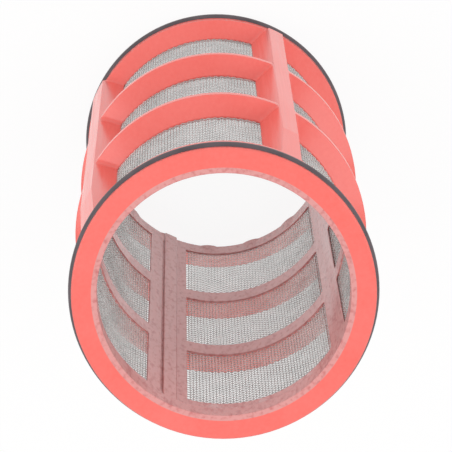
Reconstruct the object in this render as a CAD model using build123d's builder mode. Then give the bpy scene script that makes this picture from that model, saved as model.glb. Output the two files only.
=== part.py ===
from build123d import *
from math import asin, atan, degrees, hypot, radians, sin, sqrt
import os

os.makedirs("parts", exist_ok=True)

# Suction filter: a rolled woven screen with a ribbed plastic cage moulded round it,
# and a round seal ring in a groove at each end. Millimetres, +Z up, the filter stands
# on its open bottom end and its axis is the Z axis.

# Screen
overall_h = 140.0
screen_r = 30.35       # inside of the rolled screen, which the cage is laid out from
screen_t = 0.5
screen_inset = 5.6     # how far each end of the screen stops short of the end face
lap_w = 7.0            # overlap of the rolled sheet
wire_groove = 0.16     # depth of the valley that parts the wires between two slots
wire_groove_w = 0.5
slots_per_window = 10
slot_share = 0.48      # width of a slot, as a share of its pitch
slot_margin = 1.2      # from a slot's end to the edge of its window

# End rings
ring_depth = 4.35      # from the screen out to the land
ring_root_h = 10.2     # height of an end ring where it meets the screen
ring_tip_h = 6.6       # height of an end ring at its outside
edge_break = 0.3       # sharp outer edge of the end faces taken off
lip_step = 1.05        # how far the lip of the top mouth stands in from the screen
lip_h = 5.3
recess_step = 1.15     # how far the recess in the bottom mouth lies outside the screen
recess_h = 3.6

# Fins between the windows, seen in section
fin_count = 2
fin_root_h = 7.2
fin_tip_h = 1.9
fin_proud = 0.6        # how far the fins stand out of the lands

# Ribs along the axis, seen in section
rib_count = 4
first_rib_deg = 45.0   # this rib carries the seam of the screen
rib_root_w = 9.4
rib_proud = 1.0        # how far the ribs stand out of the lands
seam_pair_tip_w = 4.1  # outer face of the seam's rib and of the one opposite
other_pair_tip_w = 6.0
bottom_lead_h = 1.4    # length of the sloped end of a rib
top_lead_h = 19.0
window_corner_r = 1.2

# Plastic inside the screen
skin_t = 0.25
strip_w = 6.4
seam_strip_w = 10.5
seam_bar_w = 3.6
seam_bar_t = 0.6
seam_bar_deg = 1.3     # the bar stands a little beside the middle of its rib
seam_line_w = 0.4      # groove along the free edge of the sheet
seam_line_t = 0.15
seam_line_deg = -2.6

# Pads that centre the screen in both mouths
pad_count = 16
pad_w = 5.2
pad_t = 0.4            # at the mouth, from where a pad falls away to nothing

# Seal rings
seal_cord_d = 2.4
seal_mid_h = 2.7       # middle of the seal, from the end face
seal_proud = 0.75      # how far the seal stands out of the land
groove_side_gap = 0.2
seal_seat_gap = 0.02

# Sizes that follow from the ones above
screen_out_r = screen_r + screen_t
land_r = screen_out_r + ring_depth
fin_r = land_r + fin_proud
rib_r = land_r + rib_proud
lip_r = screen_r - lip_step
recess_r = screen_out_r + recess_step
skin_r = screen_r - skin_t
lap_r = screen_out_r + screen_t
window_h = (overall_h - 2 * ring_root_h - fin_count * fin_root_h) / (fin_count + 1)
window_pitch = window_h + fin_root_h
window_bottoms = [ring_root_h + row * window_pitch for row in range(fin_count + 1)]
seal_mid_r = land_r + seal_proud - seal_cord_d / 2
groove_floor_r = seal_mid_r - seal_cord_d / 2 - seal_seat_gap
groove_low = seal_mid_h - seal_cord_d / 2 - groove_side_gap
groove_high = seal_mid_h + seal_cord_d / 2 + groove_side_gap
rib_step_deg = 360 / rib_count
opening_w = 2 * skin_r * sin(radians(rib_step_deg / 2) - asin(strip_w / 2 / skin_r))
pad_arc_r = ((pad_w / 2) ** 2 + pad_t**2) / (2 * pad_t)
window_half_deg = rib_step_deg / 2 - degrees(asin(rib_root_w / 2 / screen_out_r))
slot_step_deg = 2 * window_half_deg / slots_per_window
slot_w = slot_share * screen_out_r * radians(slot_step_deg)
past = 1.0             # how far a cutter runs past what it cuts

# A plane whose X is the radius, and whose Y is the height above the bottom face
section = Plane.XZ
# The same, but with its Y measured down from the top face
section_from_top = Plane(origin=(0, 0, overall_h), x_dir=(1, 0, 0), z_dir=(0, 1, 0))


def cage_outline():
    """Section of the cage as it is before the windows, lands and grooves are cut."""
    return [
        (recess_r, 0),
        (rib_r, 0),
        (rib_r, overall_h),
        (lip_r, overall_h),
        (lip_r, overall_h - lip_h),
        (skin_r, overall_h - lip_h),
        (skin_r, overall_h - ring_root_h),
        (screen_out_r, overall_h - ring_root_h),
        (screen_out_r, ring_root_h),
        (skin_r, ring_root_h),
        (skin_r, recess_h),
        (recess_r, recess_h),
    ]


def land_outline(lead_h):
    """Section of what is taken off an end: the land, its seal groove and the rib ends."""
    return [
        (land_r - edge_break, 0),
        (land_r, edge_break),
        (land_r, groove_low),
        (groove_floor_r, groove_low),
        (groove_floor_r, groove_high),
        (land_r, groove_high),
        (land_r, ring_tip_h),
        (rib_r, ring_tip_h + lead_h),
        (rib_r + past, ring_tip_h + lead_h),
        (rib_r + past, -past),
        (land_r - edge_break, -past),
    ]


def rib_outline(tip_w):
    """Cross-section of a rib that points along X, run past both its faces."""
    root_x = sqrt(screen_out_r**2 - (rib_root_w / 2) ** 2)
    tip_x = sqrt(rib_r**2 - (tip_w / 2) ** 2)
    slope = (rib_root_w - tip_w) / 2 / (tip_x - root_x)
    inner = (root_x - past, rib_root_w / 2 + slope * past)
    outer = (tip_x + 2 * past, tip_w / 2 - slope * 2 * past)
    return [inner, (inner[0], -inner[1]), (outer[0], -outer[1]), outer]


def runs_outward(edge):
    """True for an edge that climbs from the screen to the outside of the cage."""
    climb = abs(hypot((edge @ 1).X, (edge @ 1).Y) - hypot((edge @ 0).X, (edge @ 0).Y))
    return climb > 0.8 * (rib_r - screen_out_r)


def window_cutter(row, facing_deg):
    """The pocket in front of one window, wider at the outside of the cage."""
    ring_slope = (ring_root_h - ring_tip_h) / (land_r - screen_out_r)
    fin_slope = (fin_root_h - fin_tip_h) / 2 / (fin_r - screen_out_r)
    low, high = window_bottoms[row], window_bottoms[row] + window_h
    depth = rib_r + past - screen_out_r
    low_rise = depth * (ring_slope if row == 0 else fin_slope)
    high_rise = depth * (ring_slope if row == fin_count else fin_slope)
    with BuildPart() as cutter:
        with BuildSketch(section.rotated((0, 0, facing_deg - rib_step_deg / 2))):
            with BuildLine():
                Polyline(
                    (screen_out_r, low),
                    (screen_out_r + depth, low - low_rise),
                    (screen_out_r + depth, high + high_rise),
                    (screen_out_r, high),
                    close=True,
                )
            make_face()
        revolve(axis=Axis.Z, revolution_arc=rib_step_deg)
        add(ribs.part, mode=Mode.SUBTRACT)
        fillet(cutter.edges().filter_by(runs_outward), radius=window_corner_r)
    return cutter.part


# The four ribs as bars that run past the cage's outside
with BuildPart() as ribs:
    with BuildSketch():
        for pair_deg, tip_w in ((0, seam_pair_tip_w), (rib_step_deg, other_pair_tip_w)):
            with PolarLocations(0, rib_count // 2, start_angle=first_rib_deg + pair_deg):
                Polygon(rib_outline(tip_w), align=None)
    extrude(amount=overall_h)

# What is taken off between the ribs to bring the fins down to their own height
with BuildPart() as fin_trim:
    with BuildSketch():
        Circle(rib_r + past)
        Circle(fin_r, mode=Mode.SUBTRACT)
    extrude(amount=overall_h)
    add(ribs.part, mode=Mode.SUBTRACT)

# Room for the screen: the cage is moulded round this
with BuildPart() as screen_room:
    with BuildSketch(Plane.XY.offset(screen_inset)):
        Circle(screen_out_r)
        with PolarLocations(0, 1, start_angle=first_rib_deg):
            Rectangle(lap_r, lap_w, align=(Align.MIN, Align.CENTER))
        Circle(lap_r, mode=Mode.INTERSECT)
        Circle(screen_r, mode=Mode.SUBTRACT)
    extrude(amount=overall_h - 2 * screen_inset)

# Skin of plastic inside the screen, which joins the cage at both end rings
with BuildPart() as skin:
    with BuildSketch(Plane.XY.offset(ring_root_h)):
        Circle(screen_r)
        Circle(skin_r, mode=Mode.SUBTRACT)
    extrude(amount=overall_h - 2 * ring_root_h)
    for facing in (Plane.YZ, Plane.XZ):
        with BuildSketch(facing):
            for low in window_bottoms:
                with Locations((0, low + window_h / 2)):
                    RectangleRounded(opening_w, window_h, window_corner_r)
        extrude(amount=screen_out_r, both=True, mode=Mode.SUBTRACT)

    # Wider strip over the seam
    with BuildSketch(Plane.XY.offset(ring_root_h)):
        with PolarLocations(0, 1, start_angle=first_rib_deg):
            Rectangle(screen_r, seam_strip_w, align=(Align.MIN, Align.CENTER))
        Circle(screen_r, mode=Mode.INTERSECT)
        Circle(skin_r, mode=Mode.SUBTRACT)
    extrude(amount=overall_h - 2 * ring_root_h)

    # Raised bar over the edge of the sheet, with its long edges rounded
    with BuildSketch(Plane.XY.offset(recess_h)):
        with PolarLocations(skin_r - seam_bar_t, 1, start_angle=first_rib_deg + seam_bar_deg):
            Rectangle(2 * seam_bar_t, seam_bar_w, align=(Align.MIN, Align.CENTER))
        Circle(screen_r, mode=Mode.INTERSECT)
        inner_corners = vertices().sort_by(lambda vertex: hypot(vertex.X, vertex.Y))[:2]
        fillet(inner_corners, radius=seam_bar_t / 2)
    extrude(amount=overall_h - recess_h - lip_h)

    # Groove beside it
    with BuildSketch(Plane.XY.offset(recess_h)):
        with PolarLocations(skin_r, 1, start_angle=first_rib_deg + seam_line_deg):
            Rectangle(2 * seam_line_t, seam_line_w)
    extrude(amount=overall_h - recess_h - lip_h, mode=Mode.SUBTRACT)

# Pads in both mouths, highest at the mouth and falling away towards the windows
with BuildPart() as pads:
    for mouth, pad_h in (
        (Plane.XY.offset(recess_h), ring_root_h - recess_h),
        (-Plane.XY.offset(overall_h - lip_h), ring_root_h - lip_h),
    ):
        with BuildSketch(mouth):
            with PolarLocations(skin_r - pad_t + pad_arc_r, pad_count, start_angle=first_rib_deg):
                Circle(pad_arc_r)
        extrude(amount=pad_h, taper=degrees(atan(pad_t / pad_h)))
    with BuildSketch():
        Circle(screen_r)
    extrude(amount=overall_h, mode=Mode.INTERSECT)

# Cage: end rings, fins and ribs outside the screen, and a thin skin inside it
with BuildPart() as cage:
    with BuildSketch(section):
        with BuildLine():
            Polyline(cage_outline(), close=True)
        make_face()
    revolve(axis=Axis.Z)

    # Windows between the fins and ribs
    for row in range(fin_count + 1):
        for facing_deg in (0, rib_step_deg):
            pocket = window_cutter(row, facing_deg)
            with PolarLocations(0, rib_count // 2):
                add(pocket, mode=Mode.SUBTRACT)
    add(fin_trim.part, mode=Mode.SUBTRACT)

    # Lands, seal grooves and the sloped ends of the ribs
    for plane, lead_h in ((section, bottom_lead_h), (section_from_top, top_lead_h)):
        with BuildSketch(plane):
            with BuildLine():
                Polyline(land_outline(lead_h), close=True)
            make_face()
        revolve(axis=Axis.Z, mode=Mode.SUBTRACT)

    # The skin and the pads, and the room that the screen takes
    add(skin.part)
    add(pads.part)
    add(screen_room.part, mode=Mode.SUBTRACT)

# Screen: the rolled sheet with its lap, and upright wires with slots between them in each window
with BuildPart() as screen:
    add(screen_room.part)
    with BuildSketch(*[Plane.XY.offset(low + slot_margin) for low in window_bottoms]):
        for index in range(rib_count):
            first_deg = index * rib_step_deg - window_half_deg
            with PolarLocations(screen_out_r, slots_per_window, first_deg, 2 * window_half_deg):
                Rectangle(2 * wire_groove, wire_groove_w)
            middle_deg = first_deg + slot_step_deg / 2
            with PolarLocations(screen_out_r, slots_per_window, middle_deg, 2 * window_half_deg):
                Rectangle(4 * screen_t, slot_w)
    extrude(amount=window_h - 2 * slot_margin, mode=Mode.SUBTRACT)

# Seal rings
with BuildPart() as bottom_seal:
    with BuildSketch(section):
        with Locations((seal_mid_r, seal_mid_h)):
            Circle(seal_cord_d / 2)
    revolve(axis=Axis.Z)

with BuildPart() as top_seal:
    with BuildSketch(section_from_top):
        with Locations((seal_mid_r, seal_mid_h)):
            Circle(seal_cord_d / 2)
    revolve(axis=Axis.Z)

nodes = {
    "cage": cage,
    "screen": screen,
    "bottom_seal": bottom_seal,
    "top_seal": top_seal,
}
for name, node in nodes.items():
    node.part.label = name
    export_step(node.part, f"parts/{name}.step")
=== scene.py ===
"""Looks of a suction filter: a red cage moulded over a tube of woven wire, with two seal rings.

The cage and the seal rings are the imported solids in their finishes. The wall that stands for
the screen is replaced by real crossing wires in each window, and by the plastic that fills
the mesh under the fins and ribs. Sizes are in millimetres where a name says so, and become
metres when a mesh is made.
"""

import logging
import math
from dataclasses import dataclass, field
from enum import Enum

import bpy
import numpy as np
from mathutils import Matrix, Vector

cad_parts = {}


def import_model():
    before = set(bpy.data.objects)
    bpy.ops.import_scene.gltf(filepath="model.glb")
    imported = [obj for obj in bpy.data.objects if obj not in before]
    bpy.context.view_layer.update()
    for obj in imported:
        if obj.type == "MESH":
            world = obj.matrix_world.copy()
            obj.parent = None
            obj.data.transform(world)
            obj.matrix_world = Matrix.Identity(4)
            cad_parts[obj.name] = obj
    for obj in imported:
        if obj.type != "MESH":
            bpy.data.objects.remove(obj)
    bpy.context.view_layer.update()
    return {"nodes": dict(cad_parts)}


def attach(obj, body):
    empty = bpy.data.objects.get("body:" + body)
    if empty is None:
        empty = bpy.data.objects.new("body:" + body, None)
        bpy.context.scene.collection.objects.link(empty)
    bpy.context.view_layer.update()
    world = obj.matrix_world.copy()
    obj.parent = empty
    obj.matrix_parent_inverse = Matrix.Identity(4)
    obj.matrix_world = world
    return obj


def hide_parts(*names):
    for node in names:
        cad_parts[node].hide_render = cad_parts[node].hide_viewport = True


LOG = logging.getLogger("suction_filter")
MM = 0.001
IMAGE_PX = 452


class Side(Enum):
    """The four sides that the windows face, by the azimuth of their middle in degrees."""

    EAST = 0.0
    NORTH = 90.0
    WEST = 180.0
    SOUTH = 270.0


class Row(Enum):
    """The three rows of windows, counted from the bottom end."""

    LOW = 0
    MIDDLE = 1
    HIGH = 2


class NodeSheet:
    """A shader node tree with short calls for adding and joining nodes."""

    def __init__(self, tree: bpy.types.NodeTree) -> None:
        """Clears the tree and keeps it.

        Args:
            tree: The node tree of a material or a world.
        """
        self.tree = tree
        tree.nodes.clear()

    def add(self, kind: str, inputs: dict | None = None, **settings: object) -> bpy.types.Node:
        """Adds a node and fills its inputs.

        Args:
            kind: Blender's name for the node's type.
            inputs: Input name or number to a value, or to the socket that feeds it.
            settings: Attributes to set on the node before its inputs.

        Returns:
            The new node.
        """
        node = self.tree.nodes.new(kind)
        for name, value in settings.items():
            setattr(node, name, value)
        for name, value in (inputs or {}).items():
            if isinstance(value, bpy.types.NodeSocket):
                self.tree.links.new(value, node.inputs[name])
            else:
                node.inputs[name].default_value = value
        return node

    def place(self) -> bpy.types.NodeSocket:
        """The surface point in the row's frame, in metres."""
        return self.add("ShaderNodeTexCoord").outputs["Object"]

    def noise(
        self,
        point: bpy.types.NodeSocket,
        size_mm: tuple[float, float, float],
        detail: float = 2.0,
    ) -> bpy.types.NodeSocket:
        """Noise whose blobs have a given size along each axis.

        Args:
            point: The socket with the surface point, in metres.
            size_mm: Rough size of a blob along X, Y and Z.
            detail: Octaves of finer noise on top.

        Returns:
            The socket with the noise's value, about 0.5 on average.
        """
        scale = tuple(1 / (size * MM) for size in size_mm)
        mapped = self.add("ShaderNodeMapping", {"Vector": point, "Scale": scale})
        made = self.add(
            "ShaderNodeTexNoise",
            {"Vector": mapped.outputs["Vector"], "Scale": 1.0, "Detail": detail},
        )
        return made.outputs["Fac"]

    def spread(
        self, value: bpy.types.NodeSocket, low: float, high: float, edges: tuple[float, float] = (0.3, 0.7)
    ) -> bpy.types.NodeSocket:
        """Maps a value between two edges to the span from low to high, held at the ends.

        Args:
            value: The socket to map.
            low: Result at and below the first edge.
            high: Result at and above the second edge.
            edges: The two values of the input where the result stops changing.

        Returns:
            The socket with the mapped value.
        """
        made = self.add(
            "ShaderNodeMapRange",
            {"Value": value, "From Min": edges[0], "From Max": edges[1], "To Min": low, "To Max": high},
        )
        return made.outputs["Result"]

    def math(self, operation: str, first: object, second: object = 0.0) -> bpy.types.NodeSocket:
        """One step of arithmetic.

        Args:
            operation: Blender's name for the operation.
            first: A socket or a number.
            second: A socket or a number.

        Returns:
            The socket with the result.
        """
        return self.add("ShaderNodeMath", {0: first, 1: second}, operation=operation).outputs[0]

    def blend(
        self, factor: bpy.types.NodeSocket, first: bpy.types.NodeSocket, second: bpy.types.NodeSocket
    ) -> bpy.types.NodeSocket:
        """Mixes the colours of two sockets.

        Args:
            factor: The socket with the share of the second colour.
            first: The socket with one colour.
            second: The socket with the other colour.

        Returns:
            The socket with the mixed colour.
        """
        made = self.add("ShaderNodeMix", data_type="RGBA")
        for number, socket in ((0, factor), (6, first), (7, second)):
            self.tree.links.new(socket, made.inputs[number])
        return made.outputs[2]

    def tint(
        self, factor: bpy.types.NodeSocket, first: tuple[float, ...], second: tuple[float, ...]
    ) -> bpy.types.NodeSocket:
        """Mixes two colours.

        Args:
            factor: The socket with the share of the second colour.
            first: Linear red, green and blue.
            second: Linear red, green and blue.

        Returns:
            The socket with the mixed colour.
        """
        made = self.add("ShaderNodeMix", data_type="RGBA")
        self.tree.links.new(factor, made.inputs[0])
        made.inputs[6].default_value = (*first, 1.0)
        made.inputs[7].default_value = (*second, 1.0)
        return made.outputs[2]


def new_material(name: str) -> tuple[bpy.types.Material, NodeSheet]:
    """Makes an empty material.

    Args:
        name: The material's name.

    Returns:
        The material and the sheet of its nodes.
    """
    material = bpy.data.materials.new(name)
    material.use_nodes = True
    return material, NodeSheet(material.node_tree)


@dataclass(frozen=True)
class MouldedRed:
    """Satin red plastic, with flow streaks along the ribs and a fine grain, and painted light inside the tube, where
    every surface takes a paler, greyer copy of the red, blotched at random.
    """

    colour: tuple[float, float, float] = (0.86, 0.135, 0.110)
    pale: tuple[float, float, float] = (0.89, 0.170, 0.145)
    # painted light: a paler, greyer copy of the red for the surfaces inside the tube, and a darker one for its random
    # blotches, standing in for how light falls in there and not a colour of the plastic
    painted_inside_tone: tuple[float, float, float] = (0.70, 0.300, 0.285)
    painted_inside_tone_dark: tuple[float, float, float] = (0.56, 0.170, 0.165)
    # radius inside which the surfaces take the painted light
    skin_mm: float = 30.6
    roughness: float = 0.20
    blot_mm: tuple[float, float, float] = (14.0, 14.0, 22.0)
    streak_mm: tuple[float, float, float] = (0.9, 0.9, 26.0)
    grain_mm: tuple[float, float, float] = (0.28, 0.28, 0.28)
    grain_height_mm: float = 0.004
    print_mm: tuple[float, float, float] = (1.1, 1.1, 2.6)
    edge_mm: float = 0.22

    def on_painted_inside(self, sheet: NodeSheet, point: bpy.types.NodeSocket) -> bpy.types.NodeSocket:
        """Where the surface lies inside the tube: the mask for the painted light there.

        Args:
            sheet: The nodes to add to.
            point: The socket with the surface point, in metres.

        Returns:
            The socket with 1 inside the tube and 0 elsewhere.
        """
        parts = sheet.add("ShaderNodeSeparateXYZ", {0: point})
        level = sheet.add("ShaderNodeCombineXYZ", {"X": parts.outputs["X"], "Y": parts.outputs["Y"]})
        radius = sheet.add("ShaderNodeVectorMath", {0: level.outputs[0]}, operation="LENGTH").outputs["Value"]
        inner = sheet.math("LESS_THAN", radius, self.skin_mm * MM)
        return inner

    def material(self) -> bpy.types.Material:
        """The finish as a Blender material."""
        material, sheet = new_material("moulded_red")
        point = sheet.place()
        blots = sheet.noise(point, self.blot_mm)
        streaks = sheet.noise(point, self.streak_mm, detail=3.0)
        grain = sheet.noise(point, self.grain_mm)
        both = sheet.math("ADD", sheet.math("MULTIPLY", blots, 0.5), sheet.math("MULTIPLY", streaks, 0.5))
        outside = sheet.tint(sheet.spread(both, 0.0, 1.0), self.colour, self.pale)
        # painted light inside the tube: a paler, greyer copy of the red, blotched at random, laid over the red where
        # the mask is 1
        prints = sheet.noise(point, self.print_mm, detail=3.0)
        inside = sheet.tint(sheet.spread(prints, 0.0, 1.0, edges=(0.48, 0.72)), self.painted_inside_tone, self.painted_inside_tone_dark)
        colour = sheet.blend(self.on_painted_inside(sheet, point), outside, inside)
        rough = sheet.spread(streaks, self.roughness - 0.04, self.roughness + 0.07)
        edges = sheet.add("ShaderNodeBevel", {"Radius": self.edge_mm * MM}, samples=6)
        bump = sheet.add(
            "ShaderNodeBump",
            {
                "Height": grain,
                "Distance": self.grain_height_mm * MM,
                "Strength": 0.6,
                "Normal": edges.outputs["Normal"],
            },
        )
        shader = sheet.add(
            "ShaderNodeBsdfPrincipled",
            {"Base Color": colour, "Roughness": rough, "Normal": bump.outputs["Normal"], "IOR": 1.5},
        )
        sheet.add("ShaderNodeOutputMaterial", {"Surface": shader.outputs["BSDF"]})
        return material


@dataclass(frozen=True)
class BrightWire:
    """Stainless wire, drawn and a little dull."""

    colour: tuple[float, float, float] = (0.62, 0.62, 0.61)
    dull: tuple[float, float, float] = (0.48, 0.48, 0.47)
    roughness: float = 0.24
    blot_mm: tuple[float, float, float] = (5.0, 5.0, 5.0)
    die_line_mm: tuple[float, float, float] = (0.5, 0.5, 0.5)

    def material(self) -> bpy.types.Material:
        """The finish as a Blender material."""
        material, sheet = new_material("bright_wire")
        point = sheet.place()
        blots = sheet.noise(point, self.blot_mm)
        lines = sheet.noise(point, self.die_line_mm)
        colour = sheet.tint(sheet.spread(blots, 0.0, 1.0), self.colour, self.dull)
        rough = sheet.spread(lines, self.roughness - 0.06, self.roughness + 0.10)
        shader = sheet.add(
            "ShaderNodeBsdfPrincipled", {"Base Color": colour, "Metallic": 1.0, "Roughness": rough}
        )
        sheet.add("ShaderNodeOutputMaterial", {"Surface": shader.outputs["BSDF"]})
        return material


@dataclass(frozen=True)
class GreasedRubber:
    """Black seal rubber with a thin film of grease in patches."""

    colour: tuple[float, float, float] = (0.060, 0.045, 0.052)
    bloom: tuple[float, float, float] = (0.105, 0.080, 0.090)
    dry: float = 0.55
    greased: float = 0.36
    patch_mm: tuple[float, float, float] = (7.0, 7.0, 3.0)
    grain_mm: tuple[float, float, float] = (0.35, 0.35, 0.35)
    grain_height_mm: float = 0.006

    def material(self) -> bpy.types.Material:
        """The finish as a Blender material."""
        material, sheet = new_material("greased_rubber")
        point = sheet.place()
        patches = sheet.noise(point, self.patch_mm)
        grain = sheet.noise(point, self.grain_mm)
        colour = sheet.tint(sheet.spread(patches, 0.0, 1.0), self.colour, self.bloom)
        rough = sheet.spread(patches, self.greased, self.dry)
        bump = sheet.add(
            "ShaderNodeBump", {"Height": grain, "Distance": self.grain_height_mm * MM, "Strength": 0.5}
        )
        shader = sheet.add(
            "ShaderNodeBsdfPrincipled",
            {"Base Color": colour, "Roughness": rough, "Normal": bump.outputs["Normal"]},
        )
        sheet.add("ShaderNodeOutputMaterial", {"Surface": shader.outputs["BSDF"]})
        return material


@dataclass(frozen=True)
class WhiteFloor:
    """A plain white table top that keeps a soft shadow."""

    colour: tuple[float, float, float] = (0.90, 0.90, 0.90)
    own_light: float = 0.90

    def material(self) -> bpy.types.Material:
        """The finish as a Blender material."""
        material, sheet = new_material("white_floor")
        path = sheet.add("ShaderNodeLightPath")
        seen = sheet.math(
            "MAXIMUM",
            sheet.math("MAXIMUM", path.outputs["Is Camera Ray"], path.outputs["Is Glossy Ray"]),
            path.outputs["Is Transmission Ray"],
        )
        share = sheet.math("MULTIPLY", seen, self.own_light)
        lit = sheet.add("ShaderNodeBsdfDiffuse", {"Color": (*self.colour, 1.0)})
        glow = sheet.add("ShaderNodeEmission", {"Color": (1.0, 1.0, 1.0, 1.0), "Strength": 1.0})
        both = sheet.add("ShaderNodeMixShader", {0: share, 1: lit.outputs[0], 2: glow.outputs[0]})
        sheet.add("ShaderNodeOutputMaterial", {"Surface": both.outputs[0]})
        return material


@dataclass(frozen=True)
class CageLayout:
    """Where the windows are: the sizes that the screen's pieces are laid out from."""

    height_mm: float = 140.0
    screen_mm: float = 30.35
    wall_mm: float = 0.5
    inset_mm: float = 5.6
    ring_mm: float = 10.2
    fin_mm: float = 7.2
    rib_mm: float = 9.4
    strip_mm: float = 6.4
    seam_strip_mm: float = 10.5
    skin_mm: float = 0.25
    lap_mm: float = 7.0
    seam_deg: float = 45.0

    @property
    def outside_mm(self) -> float:
        """Outside radius of the screen's wall."""
        return self.screen_mm + self.wall_mm

    @property
    def middle_mm(self) -> float:
        """Radius of the middle of the screen's wall."""
        return self.screen_mm + self.wall_mm / 2

    @property
    def window_mm(self) -> float:
        """Height of a window."""
        return (self.height_mm - 2 * self.ring_mm - 2 * self.fin_mm) / len(Row)

    def window_span_mm(self, row: Row) -> tuple[float, float]:
        """The lowest and highest Z of a row's windows.

        Args:
            row: The row.

        Returns:
            Bottom and top in millimetres.
        """
        low = self.ring_mm + row.value * (self.window_mm + self.fin_mm)
        return low, low + self.window_mm

    def rib_half_deg(self) -> float:
        """Half of the angle that a rib's root takes on the outside of the screen."""
        return math.degrees(math.asin(self.rib_mm / 2 / self.outside_mm))

    def strip_half_deg(self, rib_deg: float) -> float:
        """Half of the angle that the strip of plastic inside the screen takes at a rib.

        Args:
            rib_deg: Azimuth of the rib.

        Returns:
            The half angle in degrees.
        """
        width = self.seam_strip_mm if rib_deg == self.seam_deg else self.strip_mm
        return math.degrees(math.asin(width / 2 / (self.screen_mm - self.skin_mm)))

    def inner_span_deg(self, side: Side) -> tuple[float, float]:
        """The azimuths between which a window is open on the inside of the screen.

        Args:
            side: The side that the window faces.

        Returns:
            The first and last azimuth in degrees.
        """
        before = side.value - 45.0
        after = side.value + 45.0
        return before + self.strip_half_deg(before % 360), after - self.strip_half_deg(after % 360)


def mesh_object(
    name: str, points: np.ndarray, faces: np.ndarray, material: bpy.types.Material, smooth: bool
) -> bpy.types.Object:
    """Makes an object from points and quads.

    Args:
        name: Name of the object and its mesh.
        points: One row of X, Y, Z in metres for each vertex.
        faces: One row of four vertex numbers for each quad.
        material: The finish.
        smooth: Whether the faces are shaded smooth.

    Returns:
        The object, linked into the scene.
    """
    mesh = bpy.data.meshes.new(name)
    mesh.from_pydata([], [], [])
    mesh.vertices.add(len(points))
    mesh.vertices.foreach_set("co", points.astype(np.float32).ravel())
    mesh.loops.add(faces.size)
    mesh.loops.foreach_set("vertex_index", faces.astype(np.int32).ravel())
    mesh.polygons.add(len(faces))
    mesh.polygons.foreach_set("loop_start", np.arange(0, faces.size, 4, dtype=np.int32))
    mesh.polygons.foreach_set("use_smooth", np.full(len(faces), smooth))
    mesh.update(calc_edges=True)
    mesh.validate()
    mesh.materials.append(material)
    piece = bpy.data.objects.new(name, mesh)
    bpy.context.scene.collection.objects.link(piece)
    return piece


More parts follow.
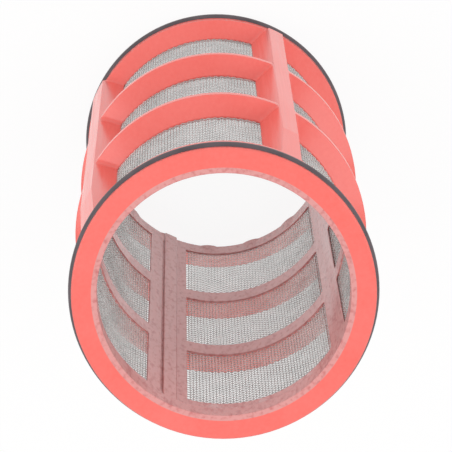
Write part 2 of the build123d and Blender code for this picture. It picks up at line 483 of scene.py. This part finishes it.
@dataclass
class WovenScreen:
    """The screen in the windows: plain weave of round wire, one piece for each window."""

    layout: CageLayout
    finish: BrightWire
    wires_round: int = 242
    wire_mm: float = 0.20
    crimp_mm: float = 0.10
    flat_share: float = 0.25
    drift_mm: float = 0.10
    sunk_mm: float = 0.35
    pieces: list[bpy.types.Object] = field(default_factory=list)

    @property
    def step_deg(self) -> float:
        """Angle between two upright wires."""
        return 360.0 / self.wires_round

    @property
    def pitch_mm(self) -> float:
        """Distance between two wires, the same both ways."""
        return math.radians(self.step_deg) * self.layout.middle_mm

    def drift(self, deg: np.ndarray, height_mm: np.ndarray) -> tuple[np.ndarray, np.ndarray]:
        """How far the cloth has been pulled out of true, as woven cloth always is a little.

        Args:
            deg: Azimuths on the screen.
            height_mm: Heights on the screen.

        Returns:
            The shift round the screen in degrees, and along it in millimetres.
        """
        turn = np.radians(deg)
        round_mm = self.drift_mm * np.sin(height_mm / 19.0 + 1.3 * np.sin(turn + 0.4))
        along_mm = self.drift_mm * (np.sin(2 * turn + height_mm / 31.0) + 0.6 * np.sin(5 * turn + 1.0))
        return np.degrees(round_mm / self.layout.middle_mm), along_mm

    def tube_points(self, deg: np.ndarray, height_mm: np.ndarray, radius_mm: np.ndarray) -> np.ndarray:
        """Points on the screen in metres, with the cloth's drift.

        Args:
            deg: Azimuths.
            height_mm: Heights.
            radius_mm: Radii.

        Returns:
            One row of X, Y, Z for each point, in the shape of the inputs.
        """
        shift_deg, shift_mm = self.drift(deg, height_mm)
        turn = np.radians(deg + shift_deg)
        return np.stack(
            [radius_mm * np.cos(turn), radius_mm * np.sin(turn), height_mm + shift_mm], axis=-1
        ) * MM

    def numbers(self, low: float, high: float, step: float) -> np.ndarray:
        """The wires of a grid that lie between two places, by their number in the grid."""
        return np.arange(math.ceil(low / step), math.floor(high / step) + 1)

    def stations(self, numbers: np.ndarray, step: float, low: float, high: float) -> np.ndarray:
        """Where a wire bends: at both sides of each wire that it crosses, and at its ends.

        Args:
            numbers: Numbers of the crossed wires.
            step: Distance or angle between them.
            low: Where the wire starts.
            high: Where the wire ends.

        Returns:
            The places in order.
        """
        bends = (numbers[:, None] + np.array([-self.flat_share, self.flat_share])).ravel() * step
        return np.concatenate([[low], bends, [high]])

    def crimp(self, own: np.ndarray, crossed: np.ndarray, outward: int) -> np.ndarray:
        """How far each station of each wire stands in or out of the middle of the cloth.

        Args:
            own: Numbers of the wires.
            crossed: Numbers of the wires that they cross.
            outward: 1 where an even crossing stands outward, and -1 where it stands inward.

        Returns:
            One row for each wire, one column for each station.
        """
        at = np.where((own[:, None] + crossed[None, :]) % 2 == 0, outward, -outward) * self.crimp_mm
        at = np.repeat(at, 2, axis=1)
        return np.concatenate([at[:, :1], at, at[:, -1:]], axis=1)

    def skin_wires(self, corners: np.ndarray) -> tuple[np.ndarray, np.ndarray]:
        """Joins the four corners of each station into square tubes.

        Args:
            corners: Points in the shape wires, stations, corners, 3.

        Returns:
            The points as rows, and the quads.
        """
        wires, stations, sides = corners.shape[:3]
        number = np.arange(wires * stations * sides).reshape(wires, stations, sides)
        here, onward = number[:, :-1], number[:, 1:]
        quads = np.stack(
            [here, np.roll(here, -1, axis=2), np.roll(onward, -1, axis=2), onward], axis=-1
        )
        return corners.reshape(-1, 3), quads.reshape(-1, 4)

    def upright_wires(self, side: Side, row: Row) -> tuple[np.ndarray, np.ndarray]:
        """The wires that run along the filter in one window.

        Args:
            side: The side that the window faces.
            row: The window's row.

        Returns:
            Points and quads.
        """
        low, high = self.layout.window_span_mm(row)
        low, high = low - self.sunk_mm, high + self.sunk_mm
        first, last = self.layout.inner_span_deg(side)
        own = self.numbers(first, last, self.step_deg)
        crossed = self.numbers(low, high, self.pitch_mm)
        height = self.stations(crossed, self.pitch_mm, low, high)
        half = self.wire_mm / 2
        radius = self.layout.middle_mm + self.crimp(own, crossed, 1)
        half_deg = math.degrees(half / self.layout.middle_mm)
        corners = []
        for turn, out in ((0, half), (half_deg, 0), (0, -half), (-half_deg, 0)):
            deg = np.broadcast_to(own[:, None] * self.step_deg + turn, radius.shape)
            corners.append(self.tube_points(deg, np.broadcast_to(height, radius.shape), radius + out))
        return self.skin_wires(np.stack(corners, axis=2))

    def hoop_wires(self, side: Side, row: Row) -> tuple[np.ndarray, np.ndarray]:
        """The wires that run round the filter in one window.

        Args:
            side: The side that the window faces.
            row: The window's row.

        Returns:
            Points and quads.
        """
        low, high = self.layout.window_span_mm(row)
        first, last = self.layout.inner_span_deg(side)
        own = self.numbers(low - self.sunk_mm, high + self.sunk_mm, self.pitch_mm)
        crossed = self.numbers(first, last, self.step_deg)
        deg = self.stations(crossed, self.step_deg, first - self.step_deg / 2, last + self.step_deg / 2)
        half = self.wire_mm / 2
        radius = self.layout.middle_mm + self.crimp(own, crossed, -1)
        corners = []
        for up, out in ((0, half), (-half, 0), (0, -half), (half, 0)):
            height = np.broadcast_to(own[:, None] * self.pitch_mm + up, radius.shape)
            corners.append(self.tube_points(np.broadcast_to(deg, radius.shape), height, radius + out))
        return self.skin_wires(np.stack(corners, axis=2))

    def build(self) -> None:
        """Makes the piece of each window."""
        material = self.finish.material()
        for row in Row:
            for side in Side:
                up_points, up_quads = self.upright_wires(side, row)
                hoop_points, hoop_quads = self.hoop_wires(side, row)
                points = np.concatenate([up_points, hoop_points])
                quads = np.concatenate([up_quads, hoop_quads + len(up_points)])
                name = f"wires_{row.name.lower()}_{side.name.lower()}"
                piece = mesh_object(name, points, quads, material, smooth=True)
                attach(piece, "root")
                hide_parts("screen")
                self.pieces.append(piece)
                LOG.info("%s: %d quads", name, len(quads))


@dataclass
class MeshFill:
    """The plastic that ran through the mesh under the fins and ribs, and the lap under the seam."""

    layout: CageLayout
    finish: bpy.types.Material
    arc_deg: float = 1.6

    def angles_deg(self) -> np.ndarray:
        """The azimuths of the cells' edges: each change of the section, and steps between them."""
        marks = []
        for side in Side:
            rib = side.value + 45.0
            for half in (
                self.layout.rib_half_deg(),
                self.layout.strip_half_deg(rib % 360),
                self.lap_half_deg(),
            ):
                marks += [rib - half, rib + half]
        marks = sorted(mark % 360 for mark in marks)
        marks.append(marks[0] + 360)
        edges = []
        for low, high in zip(marks, marks[1:]):
            steps = max(1, round((high - low) / self.arc_deg))
            edges += [low + (high - low) * step / steps for step in range(steps)]
        return np.array(edges)

    def lap_half_deg(self) -> float:
        """Half of the angle that the lap of the sheet takes."""
        return math.degrees(math.asin(self.layout.lap_mm / 2 / self.layout.outside_mm))

    def heights_mm(self) -> list[float]:
        """The heights of the cells' edges."""
        inset = self.layout.inset_mm
        inner = [edge for row in Row for edge in self.layout.window_span_mm(row)]
        return [inset, *inner, self.layout.height_mm - inset]

    def radii_mm(self) -> list[float]:
        """The radii of the cells' edges: the inner half of the mesh, the outer half and the lap."""
        layout = self.layout
        return [layout.screen_mm, layout.middle_mm, layout.outside_mm, layout.outside_mm + layout.wall_mm]

    def is_solid(self, deg: float, in_window_row: bool, layer: int) -> bool:
        """Whether a cell is filled.

        Args:
            deg: Azimuth of the cell's middle.
            in_window_row: Whether the cell is at the height of a window.
            layer: 0 for the inner half of the mesh, 1 for the outer half, and 2 for the lap.

        Returns:
            True where there is plastic or the lap.
        """
        rib = 90.0 * math.floor(deg / 90.0) + 45.0
        away = abs(deg - rib)
        if layer == 2:
            return rib % 360 == self.layout.seam_deg and away < self.lap_half_deg()
        if not in_window_row:
            return True
        half = self.layout.strip_half_deg(rib % 360) if layer == 0 else self.layout.rib_half_deg()
        return away < half

    def build(self) -> bpy.types.Object:
        """Makes the piece from the walls between filled and empty cells.

        Returns:
            The piece.
        """
        angles, heights, radii = self.angles_deg(), self.heights_mm(), self.radii_mm()
        turns, levels, layers = len(angles), len(heights) - 1, len(radii) - 1
        ends = np.append(angles[1:], angles[0] + 360)
        middles = ((angles + ends) / 2) % 360
        solid = np.zeros((turns, levels + 2, layers + 2), dtype=bool)
        for turn in range(turns):
            for level in range(levels):
                for layer in range(layers):
                    solid[turn, level + 1, layer + 1] = self.is_solid(middles[turn], level % 2 == 1, layer)
        quads = []

        def corner(turn: int, level: int, layer: int) -> int:
            """Number of the point where cells meet."""
            return ((turn % turns) * len(heights) + level) * len(radii) + layer

        for turn, level, layer in np.argwhere(solid):
            inner, outer, low, high, onward = layer - 1, layer, level - 1, level, turn + 1
            walls = {
                (0, 0, -1): ((turn, low, inner), (turn, high, inner), (onward, high, inner), (onward, low, inner)),
                (0, 0, 1): ((turn, low, outer), (onward, low, outer), (onward, high, outer), (turn, high, outer)),
                (0, -1, 0): ((turn, low, inner), (onward, low, inner), (onward, low, outer), (turn, low, outer)),
                (0, 1, 0): ((turn, high, inner), (turn, high, outer), (onward, high, outer), (onward, high, inner)),
                (-1, 0, 0): ((turn, low, inner), (turn, low, outer), (turn, high, outer), (turn, high, inner)),
                (1, 0, 0): ((onward, low, inner), (onward, high, inner), (onward, high, outer), (onward, low, outer)),
            }
            for (by_turn, by_level, by_layer), wall in walls.items():
                if not solid[(turn + by_turn) % turns, level + by_level, layer + by_layer]:
                    quads.append([corner(*place) for place in wall])
        deg, height, radius = np.meshgrid(angles, heights, radii, indexing="ij")
        turn = np.radians(deg)
        points = np.stack([radius * np.cos(turn), radius * np.sin(turn), height], axis=-1).reshape(-1, 3) * MM
        used, renumbered = np.unique(np.array(quads), return_inverse=True)
        piece = mesh_object("mesh_fill", points[used], renumbered.reshape(-1, 4), self.finish, smooth=False)
        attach(piece, "root")
        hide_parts("screen")
        LOG.info("mesh_fill: %d quads", len(quads))
        return piece


@dataclass
class PackedPieces:
    """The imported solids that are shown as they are, in their finishes."""

    nodes: dict[str, bpy.types.Object]
    red: bpy.types.Material
    rubber: bpy.types.Material

    def dress(self) -> None:
        """Gives the cage and the seal rings their materials."""
        for name, material in (("cage", self.red), ("bottom_seal", self.rubber), ("top_seal", self.rubber)):
            mesh = self.nodes[name].data
            mesh.materials.clear()
            mesh.materials.append(material)
            LOG.info("%s: %d faces in %s", name, len(mesh.polygons), material.name)


@dataclass
class PhotoCamera:
    """The camera where the photograph was taken from.

    The fields hold the top end ring's middle, and the filter's axis pointing away, as the
    camera sees them, with X to the right, Y down and Z forward.
    """

    focal_px: float = 2818.6
    ring_mm: tuple[float, float, float] = (-0.4445, 16.072, 647.595)
    away: tuple[float, float, float] = (-0.0164, -0.2869, 0.9578)
    turn_deg: float = 161.2
    height_mm: float = 140.0
    sensor_mm: float = 36.0

    def build(self) -> bpy.types.Object:
        """Makes the camera and sets it as the scene's.

        Returns:
            The camera.
        """
        away = Vector(self.away).normalized()
        across = Vector((0, 1, 0)).cross(away).normalized()
        down = away.cross(across)
        turn = math.radians(self.turn_deg)
        seen_x = across * math.cos(turn) + down * math.sin(turn)
        seen_y = across * math.sin(turn) - down * math.cos(turn)
        seen = Matrix((seen_x, seen_y, -away)).transposed()
        origin = (Vector(self.ring_mm) + away * self.height_mm) * MM
        place = -(seen.transposed() @ origin)
        axes = Matrix((seen[0], -seen[1], -seen[2])).transposed()
        data = bpy.data.cameras.new("photo_camera")
        data.sensor_width = self.sensor_mm
        data.lens = self.focal_px / IMAGE_PX * self.sensor_mm
        data.clip_start = 0.01
        data.clip_end = 20.0
        camera = bpy.data.objects.new("photo_camera", data)
        camera.matrix_world = Matrix.Translation(place) @ axes.to_4x4()
        bpy.context.scene.collection.objects.link(camera)
        bpy.context.scene.camera = camera
        LOG.info("camera at %s", tuple(round(value, 4) for value in place))
        return camera


@dataclass
class Studio:
    """A white floor and soft light from all round, brightest from above."""

    floor_finish: WhiteFloor
    floor_m: float = 6.0
    sky: float = 0.88
    lamp_m: float = 0.7
    lamp_w: float = 3.0
    lamps_from: tuple[tuple[float, float, float], ...] = ((0.80, -0.35, 0.80), (-0.85, 0.10, 0.85))
    aim: tuple[float, float, float] = (0.0, 0.0, 0.07)

    def floor(self) -> bpy.types.Object:
        """The floor, on which the filter stands."""
        half = self.floor_m / 2
        points = np.array([(-half, -half, 0), (half, -half, 0), (half, half, 0), (-half, half, 0)])
        piece = mesh_object("floor", points, np.array([[0, 1, 2, 3]]), self.floor_finish.material(), False)
        return piece

    def light_sky(self) -> None:
        """White surroundings, a little less bright as a light than as a background."""
        world = bpy.data.worlds.new("white_room")
        world.use_nodes = True
        sheet = NodeSheet(world.node_tree)
        path = sheet.add("ShaderNodeLightPath")
        seen = sheet.math(
            "MAXIMUM",
            sheet.math("MAXIMUM", path.outputs["Is Camera Ray"], path.outputs["Is Glossy Ray"]),
            path.outputs["Is Transmission Ray"],
        )
        strength = sheet.spread(seen, self.sky, 1.0, edges=(0.0, 1.0))
        light = sheet.add("ShaderNodeBackground", {"Color": (1.0, 1.0, 1.0, 1.0), "Strength": strength})
        sheet.add("ShaderNodeOutputWorld", {"Surface": light.outputs[0]})
        bpy.context.scene.world = world

    def lamp(self, place: Vector) -> bpy.types.Object:
        """One large soft lamp.

        Args:
            place: Where it hangs, in metres.

        Returns:
            The lamp.
        """
        data = bpy.data.lights.new("soft_lamp", "AREA")
        data.shape = "SQUARE"
        data.size = self.lamp_m
        data.energy = self.lamp_w
        lamp = bpy.data.objects.new("soft_lamp", data)
        lamp.location = place
        lamp.rotation_euler = (place - Vector(self.aim)).to_track_quat("Z", "Y").to_euler()
        bpy.context.scene.collection.objects.link(lamp)
        return lamp

    def build(self) -> None:
        """Makes the floor, the surroundings and the lamps."""
        self.floor()
        self.light_sky()
        for place in self.lamps_from:
            self.lamp(Vector(place))
        bpy.context.scene.view_settings.view_transform = "Standard"
        LOG.info("studio: sky %.2f, %d lamps of %.1f W", self.sky, len(self.lamps_from), self.lamp_w)


def main() -> None:
    """Builds the pieces in order and reports each one."""
    logging.basicConfig(level=logging.INFO, format="%(message)s")
    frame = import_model()
    layout = CageLayout()
    red = MouldedRed().material()
    PackedPieces(frame["nodes"], red, GreasedRubber().material()).dress()
    WovenScreen(layout, BrightWire()).build()
    MeshFill(layout, red).build()
    Studio(WhiteFloor()).build()
    PhotoCamera().build()


if __name__ == "__main__":
    main()
